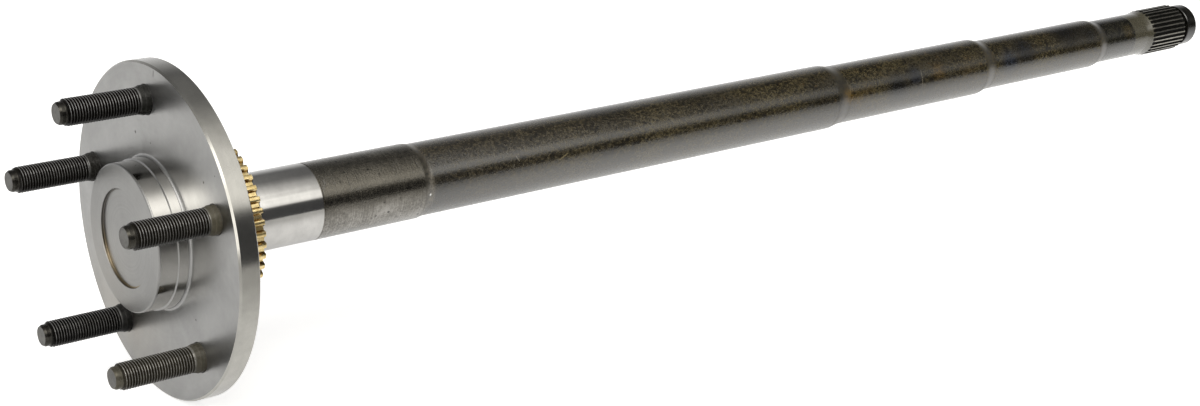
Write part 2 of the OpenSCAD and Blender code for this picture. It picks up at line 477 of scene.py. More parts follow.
def finish_steel(s):
    """Joins the colour, roughness and relief of a steel to its shader."""
    s.set(Base_Color=s.colour, Roughness=s.rough, Normal=s.relief)
    return s.material


FACE_TONE = (0.345, 0.344, 0.341)
FACE_ROUGH = 0.34
# The pilot's front is darker: the stations between which its tone sets in
BOSS_TONE = (0.215, 0.213, 0.206)
BOSS_FRONT = (-12.0, -14.0)
# Painted shade in the corner of the recess, with a painted warm highlight on its lower side: its ring as
# inner and outer radius and softness, its stations, its upper tone (painted shade) and lower tone (painted
# highlight), and the heights between which they change
CORNER_SHADE_RING = (RECESS_R - 0.7, RECESS_R + 0.1, 0.2)
CORNER_SHADE_DEPTH = (-17.4, -16.8)
CORNER_SHADE_AND_HIGHLIGHT_TONES = [(0.07, 0.062, 0.05), (0.21, 0.145, 0.05)]
CORNER_SHADE_HEIGHTS = (6.0, -12.0)
# Marks on the wheel face: a warm stain, pits as (x, z, radius) and one short scratch
STAIN_AT = (-40.0, 0.0, -45.0)
STAIN_R = 70.0
STAIN_TONE = (0.39, 0.345, 0.275)
FACE_PITS = [(-14.0, 50.5, 1.3), (57.1, 38.4, 1.1), (39.7, -36.9, 0.9), (2.2, 47.6, 0.7), (69.0, 44.0, 0.6)]
FACE_PIT_TONE = (0.03, 0.027, 0.022)
SCRATCH_AT = (10.6, 84.8)
SCRATCH_LEN = 4.5
SCRATCH_W = 0.55
SCRATCH_TILT = 78.0
SCRATCH_TONE = (0.05, 0.045, 0.04)


def face_steel():
    """Satin faces of the flange and pilot, with small pits, a scratch, a warm stain, faint clouds, and
    painted shade above and a painted warm highlight below in the corner of the recess.
    """
    s = turned_steel("face_steel", FACE_TONE, FACE_ROUGH, "radius")
    boss = s.step(s.y, *mm(*BOSS_FRONT))
    rings = s.blend(s.lines(s.radius, 900.0), 0.25, 0.65)
    s.colour = s.mix(s.mul(boss, rings), s.colour, BOSS_TONE)
    # Painted shade in the corner of the recess, dark above, with a painted warm highlight below
    corner = s.mul(s.span(s.radius, *mm(*CORNER_SHADE_RING)), s.step(s.y, *mm(*CORNER_SHADE_DEPTH)))
    corner_shade_and_highlight = s.mix(s.step(s.z, *mm(*CORNER_SHADE_HEIGHTS)), *CORNER_SHADE_AND_HIGHLIGHT_TONES)
    s.colour = s.mix(s.mul(s.mul(corner, boss), 0.75), s.colour, corner_shade_and_highlight)
    stain = s.mul(s.near(STAIN_AT, STAIN_R), s.noise(55.0, detail=4.0))
    s.colour = s.mix(s.mul(stain, 0.6), s.colour, STAIN_TONE)
    for x, z, r in FACE_PITS:
        s.colour = s.mix(s.near((x, 0.0, z), r), s.colour, FACE_PIT_TONE)
    x, z = mm(*SCRATCH_AT)
    scratch = s.stroke(s.add(s.x, -x), s.add(s.z, -z), SCRATCH_LEN, SCRATCH_W, SCRATCH_TILT)
    s.colour = s.mix(scratch, s.colour, SCRATCH_TONE)
    s.set(Anisotropic=0.5, Tangent=s.turning())
    return finish_steel(s)


WALL_TONE = (0.43, 0.422, 0.395)
WALL_ROUGH = 0.17
# The pilots' walls are brighter and smoother: the stations between which that sets in
PILOT_WALLS = (0.0, -0.5)
PILOT_TONE = (0.62, 0.61, 0.585)
PILOT_SMOOTH = 0.62
DUST_TONE = (0.7, 0.7, 0.7)


def wall_steel():
    """Turned walls of the rim, pilots and hub, with a little dust."""
    s = turned_steel("wall_steel", WALL_TONE, WALL_ROUGH, "station")
    pilot = s.step(s.y, *mm(*PILOT_WALLS))
    s.colour = s.mix(pilot, s.colour, PILOT_TONE)
    s.rough = s.mul(s.rough, s.blend(pilot, 1.0, PILOT_SMOOTH))
    dust = s.mul(s.specks(420.0, 0.09), s.step(s.noise(60.0), 0.52, 0.66))
    s.colour = s.mix(s.mul(dust, 0.35), s.colour, DUST_TONE)
    s.rough = s.add(s.rough, s.mul(dust, 0.3))
    return finish_steel(s)


JOURNAL_TONE = (0.565, 0.556, 0.54)
JOURNAL_ROUGH = 0.12


def ground_journal():
    """Bearing journal, ground bright, with grinding lines around it."""
    return finish_steel(turned_steel("ground_journal", JOURNAL_TONE, JOURNAL_ROUGH, "station"))


# Marks on the shaft, in millimetres and degrees from +X towards +Z:
# station, bearing, length, width, tilt, tone
SHAFT_MARKS = [
    # The first mark is a small nick painted near-white: a painted glint
    (156.2, -10.6, 1.5, 1.0, 30.0, (0.95, 0.95, 0.93)),
    (216.3, 18.1, 5.0, 0.5, -62.0, (0.21, 0.19, 0.15)),
    (213.0, 8.0, 2.2, 0.45, 70.0, (0.17, 0.155, 0.12)),
    (248.2, 6.5, 9.0, 0.5, 24.0, (0.22, 0.18, 0.09)),
    (190.0, 14.0, 4.0, 0.4, -20.0, (0.12, 0.105, 0.08)),
    (306.0, 30.0, 5.0, 0.4, -75.0, (0.12, 0.10, 0.07)),
    (352.0, 16.0, 4.0, 0.4, 55.0, (0.11, 0.09, 0.06)),
]
SHAFT_MARK_R = 20.0
# Stained patches on the shaft: station, bearing, radius, strength, tone
SHAFT_PATCHES = [
    (479.0, 9.7, 8.0, 0.9, (0.115, 0.070, 0.012)),
    (488.0, 0.0, 9.0, 0.7, (0.085, 0.055, 0.010)),
    (497.0, 14.0, 8.0, 0.4, (0.075, 0.048, 0.012)),
    (562.8, 21.5, 9.0, 0.7, (0.085, 0.052, 0.012)),
    (592.0, 12.0, 14.0, 0.5, (0.060, 0.042, 0.014)),
    (524.0, 4.0, 17.0, 0.9, (0.002, 0.002, 0.002)),
    (540.8, 20.8, 10.0, 0.9, (0.006, 0.008, 0.014)),
    (635.2, 11.7, 13.0, 0.9, (0.012, 0.016, 0.026)),
    (652.0, 34.0, 18.0, 0.8, (0.004, 0.005, 0.007)),
    (700.0, 62.0, 30.0, 0.75, (0.002, 0.002, 0.002)),
    (722.0, 40.0, 16.0, 0.7, (0.003, 0.003, 0.002)),
    (765.0, 28.0, 8.0, 0.7, (0.050, 0.035, 0.007)),
    (763.0, -10.0, 6.0, 0.5, (0.030, 0.022, 0.005)),
]
PATCH_GAIN = 1.6
# Dark and light tone of the speckle near the flange and far from it, the stations between which it changes,
# and how far the blotches move them
NEAR_TONES = [(0.005, 0.004, 0.002), (0.060, 0.047, 0.022)]
FAR_TONES = [(0.003, 0.002, 0.0005), (0.082, 0.064, 0.024)]
FAR_FADE = (240.0, 460.0)
FAR_SHIFT = 120.0
TARNISH_TONE = (0.007, 0.006, 0.004)
# The first section is turned and paler, and painted paler still below as a painted sheen: where it ends, its
# dark tone, its pale tone above and its pale tone with the painted sheen below, and the heights between which
# that changes
ROOT_FADE = (160.0, 150.0)
ROOT_DARK = (0.085, 0.076, 0.057)
ROOT_PALE_AND_SHEEN = [(0.20, 0.185, 0.155), (0.44, 0.425, 0.40)]
ROOT_SHEEN_HEIGHTS = (6.0, -12.0)
# Rubbed smear at the first taper: first and last station and softness, how ragged it is,
# and the bearings where it is strong
SMEAR = (155.3, 158.8, 1.6)
SMEAR_RAGGED = 6.0
SMEAR_BEARINGS = (-30, 26, 12)
SMEAR_TONE = (0.19, 0.17, 0.135)
RUST_TONE = (0.085, 0.052, 0.015)
RUST_FADE = (120.0, 500.0)
SHAFT_PIT_TONE = (0.003, 0.002, 0.001)
# Scraped ring in the middle section: first and last station and softness, and the same as bearings
RING_MARK = (546.35, 546.85, 0.3)
RING_MARK_BEARINGS = (2, 28, 8)
RING_MARK_TONE = (0.26, 0.23, 0.17)
# The neck is black, and bare from a ragged edge on
HARD_FADE = (735.5, 741.5)
HARD_TONES = [(0.001, 0.001, 0.0005), (0.016, 0.014, 0.005)]
BARE_EDGE = (771.6, 772.4)
BARE_RAGGED = 1.2
BARE_TONE = (0.074, 0.067, 0.044)
SCALE_DEPTH = 0.00012
OIL_DEPTH = 0.00005


def shaft_point(station, bearing, radius):
    """A point on the shaft in millimetres."""
    a = math.radians(bearing)
    return (radius * math.cos(a), station, radius * math.sin(a))


def radius_at(station):
    """Radius of the shaft's section at a station, in millimetres."""
    return next(r for r, _, end in SECTIONS if station <= end)


def forged_scale(name, oil, dull):
    """Forged and hardened shaft under oil: grain, blotches, rust tints, marks and a bare end of the neck,
    with a painted sheen on the lower side of the first section and one nick painted near-white as a glint.
    """
    s = Shader(name)
    grain = s.noise(1100.0, detail=2.0, rough=0.6, at=s.drawn(0.8))
    flecks = s.noise(560.0, detail=6.0, rough=0.72, at=s.drawn(0.75))
    blotch = s.noise(44.0, detail=6.0, rough=0.6, distortion=0.7)
    wide = s.noise(17.0, detail=3.0, rough=0.5)
    shade = s.add(s.mul(grain, 0.25), s.add(s.mul(flecks, 0.55), s.mul(blotch, 0.2)))
    speckle = s.step(shade, 0.41, 0.59)
    far = s.step(s.add(s.y, s.mul(blotch, FAR_SHIFT * MM)), *mm(*FAR_FADE))
    colour = s.mix(far, s.mix(speckle, *NEAR_TONES), s.mix(speckle, *FAR_TONES))
    tarnish = s.step(s.add(wide, s.mul(blotch, 0.5)), 0.70, 0.92)
    colour = s.mix(s.mul(tarnish, 0.6), colour, TARNISH_TONE)

    root = s.step(s.y, *mm(*ROOT_FADE))
    turned = s.lines(s.y, 1500.0, detail=2.0)
    ridged = s.add(s.mul(turned, 0.2), s.add(s.mul(shade, 0.5), s.mul(blotch, 0.3)))
    ridged = s.step(ridged, 0.38, 0.62)
    # Painted sheen: the first section is painted paler on its lower side
    paler = s.mix(ridged, ROOT_DARK, s.mix(s.step(s.z, *mm(*ROOT_SHEEN_HEIGHTS)), *ROOT_PALE_AND_SHEEN))
    colour = s.mix(s.mul(root, 0.85), colour, paler)
    uneven = s.add(flecks, -0.5)
    smear = s.span(s.add(s.y, s.mul(uneven, SMEAR_RAGGED * MM)), *mm(*SMEAR))
    rubbed = s.blend(s.span(s.angle, *rad(*SMEAR_BEARINGS)), 0.2, 0.9)
    broken = s.step(s.add(flecks, s.mul(blotch, 0.4)), 0.5, 0.75)
    colour = s.mix(s.mul(smear, s.mul(rubbed, broken)), colour, SMEAR_TONE)

    rust = s.step(s.noise(240.0, detail=7.0, rough=0.75), 0.55, 0.68)
    colour = s.mix(s.mul(s.mul(rust, s.step(s.y, *mm(*RUST_FADE))), 0.6), colour, RUST_TONE)
    pits = s.mul(s.specks(210.0, 0.22), s.step(blotch, 0.44, 0.58))
    colour = s.mix(s.mul(pits, 0.75), colour, SHAFT_PIT_TONE)
    ring = s.mul(s.span(s.y, *mm(*RING_MARK)), s.span(s.angle, *rad(*RING_MARK_BEARINGS)))
    colour = s.mix(s.mul(ring, 0.9), colour, RING_MARK_TONE)

    hard = s.step(s.y, *mm(*HARD_FADE))
    colour = s.mix(s.mul(hard, 0.95), colour, s.mix(speckle, *HARD_TONES))
    bare = s.step(s.add(s.y, s.mul(uneven, BARE_RAGGED * MM)), *mm(*BARE_EDGE))
    colour = s.mix(bare, colour, s.mix(blotch, scaled(BARE_TONE, 0.8), scaled(BARE_TONE, 1.2)))

    for station, bearing, length, width, tilt, tone in SHAFT_MARKS:
        u = s.add(s.y, -station * MM)
        v = s.mul(s.add(s.angle, -math.radians(bearing)), SHAFT_MARK_R * MM)
        colour = s.mix(s.stroke(u, v, length, width, tilt), colour, tone)

    mottle = s.step(s.add(flecks, s.mul(grain, 0.4)), 0.48, 0.82)
    for station, bearing, radius, strength, tone in SHAFT_PATCHES:
        patch = s.near(shaft_point(station, bearing, radius_at(station)), radius)
        colour = s.mix(s.mul(s.mul(patch, mottle), strength * PATCH_GAIN), colour, tone)

    relief = s.add(s.mul(grain, 0.45), s.add(s.mul(flecks, 0.55), s.mul(s.mul(root, turned), 0.25)))
    relief = s.mul(relief, s.blend(bare, 1.0, 0.25))
    s.set(
        Base_Color=colour,
        Metallic=s.mul(root, s.math("MULTIPLY", ridged, 3.0, clamp=True)), IOR=1.95,
        Roughness=s.blend(speckle, 0.19 + dull, 0.30 + dull),
        Normal=s.bump(relief, SCALE_DEPTH),
        Coat_Weight=oil, Coat_IOR=1.5, Coat_Roughness=0.17,
        Coat_Normal=s.bump(relief, OIL_DEPTH),
    )
    return s.material


LAND_TONES = [(0.24, 0.232, 0.205), (0.44, 0.425, 0.38)]
# Painted shade: the spline grooves are near black, in a dark and a light tone
GROOVE_SHADE_TONES = [(0.002, 0.002, 0.0015), (0.009, 0.0085, 0.007)]
BUTTON_TONES = [(0.002, 0.002, 0.0015), (0.012, 0.011, 0.008)]
SPLINE_DEPTH = 0.00001
BUTTON_DEPTH = 0.000002


def splined_steel():
    """Lands of the spline: dark steel, a little worn and oily, drawn along the teeth."""
    s = Shader("splined_steel")
    film = s.noise(420.0, detail=6.0, rough=0.65)
    drawn = s.noise(900.0, detail=3.0, at=s.drawn(0.12))
    shade = s.step(s.add(s.mul(film, 0.6), s.mul(drawn, 0.4)), 0.3, 0.7)
    s.set(
        Base_Color=s.mix(shade, *LAND_TONES), Metallic=0.95,
        Roughness=s.blend(film, 0.24, 0.36), Normal=s.bump(film, SPLINE_DEPTH))
    return s.material


def groove_painted_shade():
    """Grooves between the teeth of the spline: dull black, which is painted shade between the teeth."""
    s = Shader("groove_painted_shade")
    film = s.noise(420.0, detail=6.0, rough=0.65)
    s.set(
        Base_Color=s.mix(s.step(film, 0.3, 0.7), *GROOVE_SHADE_TONES),
        Roughness=s.blend(film, 0.4, 0.55), Normal=s.bump(film, SPLINE_DEPTH), Specular_IOR_Level=0.1)
    return s.material


def black_end():
    """Clip groove and button end: black and oily, hardly worn."""
    s = Shader("black_end")
    film = s.noise(300.0, detail=6.0, rough=0.65)
    turned = s.lines(s.y, 3000.0)
    s.set(
        Base_Color=s.mix(s.step(film, 0.3, 0.75), *BUTTON_TONES),
        Metallic=0.0, IOR=1.6, Roughness=s.blend(film, 0.16, 0.28), Normal=s.bump(turned, BUTTON_DEPTH),
        Coat_Weight=0.6, Coat_IOR=1.5, Coat_Roughness=0.15)
    return s.material


# Each stud: wear from 0 for black to 1 for grey-brown, and the tone of its shoulder
STUDS = [
    (0.15, (0.008, 0.008, 0.006)),
    (0.40, (0.088, 0.079, 0.055)),
    (1.00, (0.064, 0.058, 0.043)),
    (0.10, (0.006, 0.006, 0.005)),
    (0.20, (0.011, 0.010, 0.008)),
]
# Grey of a new flank and crest, and what full wear adds to them and to the lead
FLANK_GREY = 0.002
FLANK_WEAR = (0.016, 0.014, 0.0095)
CREST_GREY = 0.40
CREST_WEAR = (0.12, 0.105, 0.07)
LEAD_TONES = [(0.030, 0.029, 0.026), (0.060, 0.057, 0.050)]
LEAD_WEAR = (0.050, 0.045, 0.031)
END_TONES = [(0.10, 0.098, 0.093), (0.17, 0.167, 0.158)]
# Where these set in: crests below the thread's radius, the shoulder at both of its ends,
# the lead from its start, the end from the tip and from its rim
CREST_FADE = (0.22, 0.04)
SHOULDER_FADE = (-6.2, -4.8)
SHOULDER_FOOT = (1.0, -0.3)
LEAD_FADE = (0.9, 1.6)
END_FADE = (0.15, 0.03)
END_RIM = (0.1, 0.7)
OXIDE_DEPTH = 0.000012


def black_oxide(i):
    """A stud's black oxide: bare thread crests with a painted highlight on the stud's upper side, black
    flanks and roots, a grey end, and its own shoulder.
    """
    s = Shader(f"black_oxide_{i + 1}")
    cx, cz = mm(*stud_centre(i))
    wear, shoulder_tone = STUDS[i]
    dx, dz = s.add(s.x, -cx), s.add(s.z, -cz)
    reach = s.math("SQRT", s.add(s.mul(dx, dx), s.mul(dz, dz)))
    cloud = s.noise(150.0, detail=5.0, rough=0.6)
    dust = s.noise(900.0, detail=4.0, rough=0.65)
    shade = s.step(s.add(s.mul(cloud, 0.5), s.mul(dust, 0.5)), 0.35, 0.65)
    flank = scaled(FLANK_WEAR, wear, FLANK_GREY)
    colour = s.mix(shade, flank, scaled(flank, 1.8))

    crest = s.step(reach, *mm(*(THREAD_R - d for d in CREST_FADE)))
    # Painted highlight: the crests are lighter on the upper side of each stud, where light falls, and darker
    # below
    above = s.step(s.math("DIVIDE", dz, reach), -0.35, 0.45)
    crest = s.mul(s.mul(crest, s.blend(above, 0.10 + 0.2 * wear, 1.0)), s.blend(shade, 0.6, 1.0))
    colour = s.mix(crest, colour, scaled(CREST_WEAR, wear, CREST_GREY))
    shoulder = s.mul(s.step(s.y, *mm(*SHOULDER_FADE)), s.step(s.y, *mm(*SHOULDER_FOOT)))
    colour = s.mix(s.mul(shoulder, s.blend(shade, 0.85, 1.0)), colour, shoulder_tone)

    lead = s.step(s.y, *mm(*(LEAD_LEN - d - STUD_LEN for d in LEAD_FADE)))
    dusty = scaled(LEAD_WEAR, wear * wear)
    dark, light = (tuple(a + b for a, b in zip(tone, dusty)) for tone in LEAD_TONES)
    colour = s.mix(lead, colour, s.mix(shade, dark, light))
    end = s.step(s.y, *mm(*(d - STUD_LEN for d in END_FADE)))
    end = s.mul(end, s.step(reach, *mm(*(TIP_R - d for d in END_RIM))))
    colour = s.mix(end, colour, s.mix(shade, *END_TONES))

    metal = s.math("MAXIMUM", s.mul(lead, 1.0 - 0.6 * wear * wear), end)
    metal = s.math("MAXIMUM", s.mul(crest, s.add(1.0, s.mul(shoulder, -0.8))), metal)
    s.set(
        Base_Color=colour, Metallic=s.blend(metal, 0.0, 0.95), Specular_IOR_Level=0.1,
        Roughness=s.add(s.blend(dust, 0.2, 0.32), s.mul(end, 0.2)),
        Normal=s.bump(dust, OXIDE_DEPTH))
    return s.material


ZINC_PALE = [(0.66, 0.49, 0.20), (0.88, 0.72, 0.40)]
ZINC_FLANK_SHADE = [(0.20, 0.10, 0.02), (0.42, 0.25, 0.07)]
# Brown painted shade on the flanks of the teeth: where it sets in and ends above the foot
FLANK_SHADE_START = (0.05, 0.3)
FLANK_SHADE_END = (1.8, 1.0)
ZINC_DEPTH = 0.000008


def zinc_gold():
    """Yellow zinc plating: pale tooth tips and gullets, brown painted shade on the flanks, small stains."""
    s = Shader("zinc_gold")
    cloud = s.noise(120.0, detail=5.0, rough=0.6)
    dust = s.noise(700.0, detail=4.0, rough=0.65)
    shade = s.step(s.add(s.mul(cloud, 0.55), s.mul(dust, 0.45)), 0.33, 0.67)
    foot = RING_R - RING_TOOTH_H
    # Painted shade: the flanks of the teeth are coloured brown
    flank = s.step(s.radius, *mm(*(foot + d for d in FLANK_SHADE_START)))
    flank = s.mul(flank, s.step(s.radius, *mm(*(foot + d for d in FLANK_SHADE_END))))
    s.set(
        Base_Color=s.mix(flank, s.mix(shade, *ZINC_PALE), s.mix(shade, *ZINC_FLANK_SHADE)), Metallic=1.0,
        Roughness=s.blend(shade, 0.34, 0.22), Normal=s.bump(dust, ZINC_DEPTH))
    return s.material


# Pieces

FACE, WALL, JOURNAL, SCALE, TAPER, LAND, GROOVE, BUTTON = range(8)


def spline_stations():
    """Stations of the rings along the ramp and the spline, closer together where the grooves run out."""
    stations = [NECK_END]
    run_out = GROOVE_FULL - GROOVE_BEGIN
    stations += [GROOVE_BEGIN + run_out * i / RUN_OUT_STEPS for i in range(RUN_OUT_STEPS + 1)]
    stations += [SPLINE_START, SPLINE_END - SPLINE_CHAMFER, SPLINE_END]
    return sorted(stations)


def spline_ring(y):
    """Points of the splined outline at a station, and how deep each is below the teeth.

    The teeth rise on a cone along the ramp, the grooves run out on it, and the far end is chamfered.
    """
    ramp = NECK_R + (SPLINE_R - NECK_R) * (y - NECK_END) / (SPLINE_START - NECK_END)
    limit = min(SPLINE_R, ramp, SPLINE_R + SPLINE_END - SPLINE_CHAMFER - y)
    rise = max(0.0, (GROOVE_FULL - y) / (GROOVE_FULL - GROOVE_BEGIN))
    root = SPLINE_ROOT_R + GROOVE_RISE * rise * rise
    mid_r = (SPLINE_R + SPLINE_ROOT_R) / 2
    half_mid = math.pi * mid_r * GROOVE_SHARE / SPLINE_TEETH
    pitch = TURN / SPLINE_TEETH
    points = []
    depths = []
    count = SPLINE_TEETH * TOOTH_POINTS
    for i in range(count):
        a = TURN * i / count
        across = abs(a % pitch - pitch / 2) * mid_r
        flank = mid_r + (across - half_mid) / math.tan(GROOVE_ANGLE)
        r = min(max(flank, root), limit)
        points.append(Vector((r * math.sin(a), y, r * math.cos(a))) * MM)
        depths.append(limit - r)
    return points, depths


def make_axle_shaft(materials):
    b = Builder()
    floor_y = RECESS_DEPTH - PILOT_LEN
    last = b.lathe(
        [(0, floor_y + CENTRE_DEPTH), (CENTRE_DRILL_R, floor_y + CENTRE_DEPTH), (CENTRE_R, floor_y)],
        FLANGE_SEGMENTS, FACE)
    at = (WHEEL_PILOT_R - PILOT_CHAMFER, -PILOT_LEN)
    last = b.lathe(
        [(CENTRE_R + CENTRE_LAND, floor_y), (RECESS_R - RECESS_CORNER - RECESS_LAND, floor_y),
         *arc((RECESS_R - RECESS_CORNER, floor_y - RECESS_CORNER), RECESS_CORNER, 90, 0),
         (RECESS_R, RECESS_EDGE - PILOT_LEN), (RECESS_R + RECESS_EDGE, -PILOT_LEN), at],
        FLANGE_SEGMENTS, FACE, first=last)
    for material, profile in (
        (FACE, arc((WHEEL_PILOT_R - PILOT_CHAMFER, PILOT_CHAMFER - PILOT_LEN), PILOT_CHAMFER, 270, 360)[1:]),
        (WALL, [(WHEEL_PILOT_R, -ROTOR_PILOT_LEN)]),
        (FACE, [(ROTOR_PILOT_R, PILOT_STEP - ROTOR_PILOT_LEN)]),
        (WALL, [(ROTOR_PILOT_R, -PILOT_FILLET)]),
        (FACE, arc((ROTOR_PILOT_R + PILOT_FILLET, -PILOT_FILLET), PILOT_FILLET, 180, 90)[1:]),
        (FACE, [(ROTOR_PILOT_R + PILOT_FILLET + FILLET_LAND, 0)]),
    ):
        last = b.lathe([at, *profile], FLANGE_SEGMENTS, material, first=last)
        at = profile[-1]
    pilot_foot = last

    rim = b.ring(circle(FLANGE_R - RIM_CHAMFER, 0, FLANGE_SEGMENTS))
    mouths = []
    backs = []
    for i in range(STUD_COUNT):
        c = stud_centre(i)
        mouth = b.ring(circle(SHOULDER_R + HOLE_CHAMFER, 0, STUD_SEGMENTS, c))
        mouths.append(mouth)
        hole = [(SHOULDER_R, HOLE_CHAMFER), (SHOULDER_R, FLANGE_T)]
        backs.append(b.lathe(hole, STUD_SEGMENTS, FACE, c, mouth))
    b.fill([pilot_foot, rim, *mouths], (0, -1, 0), FACE)
    last = b.lathe(
        [(FLANGE_R, RIM_CHAMFER), (FLANGE_R, FLANGE_T - RIM_BACK_BREAK),
         (FLANGE_R - RIM_BACK_BREAK, FLANGE_T)],
        FLANGE_SEGMENTS, WALL, first=rim)
    hub = b.ring(circle(HUB_R + HUB_FILLET + FILLET_LAND, FLANGE_T, FLANGE_SEGMENTS))
    b.fill([last, hub, *backs], (0, 1, 0), FACE)
    last = b.lathe(
        [*arc((HUB_R + HUB_FILLET, FLANGE_T + HUB_FILLET), HUB_FILLET, 270, 180),
         (HUB_R, RING_START), (RING_SEAT_R, RING_START), (RING_SEAT_R, SEAT_END - SEAT_CHAMFER),
         (RING_SEAT_R - SEAT_CHAMFER, SEAT_END),
         *ease(RING_SEAT_R - SEAT_CHAMFER, SEAT_END, JOURNAL_R, JOURNAL_START)],
        FLANGE_SEGMENTS, WALL, first=hub)

    first_r, first_y = SECTIONS[0][:2]
    last = b.lathe(
        [(JOURNAL_R, JOURNAL_START), (JOURNAL_R, JOURNAL_END - JOURNAL_EDGE_LEN),
         (JOURNAL_R - JOURNAL_EDGE_R, JOURNAL_END)],
        SHAFT_SEGMENTS, JOURNAL, first=last)
    last = b.lathe(
        [(first_r - RELIEF_DEPTH, JOURNAL_END), (first_r - RELIEF_DEPTH, first_y - RELIEF_DEPTH)],
        SHAFT_SEGMENTS, SCALE, first=last)
    for (r0, a0, e0), (r1, a1, _) in zip(SECTIONS, SECTIONS[1:]):
        last = b.lathe([(r0, a0), (r0, (a0 + e0) / 2), (r0, e0)], SHAFT_SEGMENTS, SCALE, first=last)
        last = b.lathe([*ease(r0, e0, r1, a1), (r1, a1)], SHAFT_SEGMENTS, TAPER, first=last)
    neck = [(NECK_R, SECTIONS[-1][1]), (NECK_R, NECK_END - NECK_LAND)]
    last = b.lathe(neck, SHAFT_SEGMENTS, SCALE, first=last)

    stations = spline_stations()
    points, before = spline_ring(stations[0])
    ring = b.ring(points)
    b.bridge(last, ring, SCALE)
    last = ring
    for y in stations[1:]:
        points, depths = spline_ring(y)
        ring = b.ring(points)
        top = SCALE if y <= SPLINE_START else LAND
        deepest = [max(before[i - 1], before[i], depths[i - 1], depths[i]) for i in range(len(depths))]
        b.bridge(last, ring, [GROOVE if d > GROOVE_EDGE else top for d in deepest[1:] + deepest[:1]])
        last, before = ring, depths
    b.lathe(
        [(CLIP_GROOVE_R, SPLINE_END), (CLIP_GROOVE_R, BUTTON_START), (BUTTON_R - BUTTON_BREAK, BUTTON_START),
         (BUTTON_R, BUTTON_START + BUTTON_BREAK),
         *arc((BUTTON_R - BUTTON_ROUND, SHAFT_END - BUTTON_ROUND), BUTTON_ROUND, 0, 90),
         (BUTTON_R - BUTTON_ROUND - BUTTON_LAND, SHAFT_END), (CENTRE_R, SHAFT_END),
         (CENTRE_DRILL_R, SHAFT_END - CENTRE_DEPTH), (0, SHAFT_END - CENTRE_DEPTH)],
        SHAFT_SEGMENTS, BUTTON, first=last)
    b.finish("axle_shaft_forging", materials, "axle_shaft")


def make_tone_ring(material):
    b = Builder()
    pitch = TURN / RING_TEETH
    foot_r = RING_R - RING_TOOTH_H
    # Half a tooth as (share of the pitch, radius), from the tooth's middle to the gap's middle
    half = [
        (0.0, RING_R),
        *((share * RING_TIP_SHARE / 2, RING_R - drop) for share, drop in RING_TIP_ROUND),
        *((share * RING_FOOT_SHARE / 2, foot_r + rise) for share, rise in RING_FOOT_ROUND),
        (0.5, foot_r),
    ]
    tooth = [(-t, r) for t, r in half[:0:-1]] + half[:-1]

    def outline(y, inset):
        points = []
        for i in range(RING_TEETH):
            for t, r in tooth:
                a = (i + t) * pitch
                points.append(Vector(((r - inset) * math.sin(a), y, (r - inset) * math.cos(a))) * MM)
        return points

    count = RING_TEETH * len(tooth)
    first = b.ring(circle(RING_SEAT_R, RING_START + RING_BORE_EDGE, count))
    last = first
    for points in (
        circle(RING_SEAT_R + RING_BORE_EDGE, RING_START, count),
        outline(RING_START, RING_EDGE),
        outline(RING_START + RING_EDGE, 0.0),
        outline(RING_END - RING_EDGE, 0.0),
        outline(RING_END, RING_EDGE),
        circle(RING_SEAT_R + RING_BORE_EDGE, RING_END, count),
        circle(RING_SEAT_R, RING_END - RING_BORE_EDGE, count),
    ):
        ring = b.ring(points)
        b.bridge(last, ring, 0)
        last = ring
    b.bridge(last, first, 0)
    b.finish("sensor_ring", [material], "tone_ring")


def thread_rows(start, end):
    """Rows of a helical thread as (turns, radius), from before its start to past its end."""
    flank = (THREAD_R - THREAD_ROOT_R) * math.tan(THREAD_FLANK) / THREAD_PITCH
    root_start = THREAD_CREST_SHARE + flank
    root_end = 1 - flank
    crest = [(0.0, THREAD_R), (THREAD_CREST_SHARE, THREAD_R)]
    root = [(root_start, THREAD_ROOT_R), (root_end, THREAD_ROOT_R)]
    rows = []
    k = -1
    while start + (k - 1) * THREAD_PITCH < end:
        rows += [(k + t, r) for t, r in crest + root]
        k += 1
    return rows


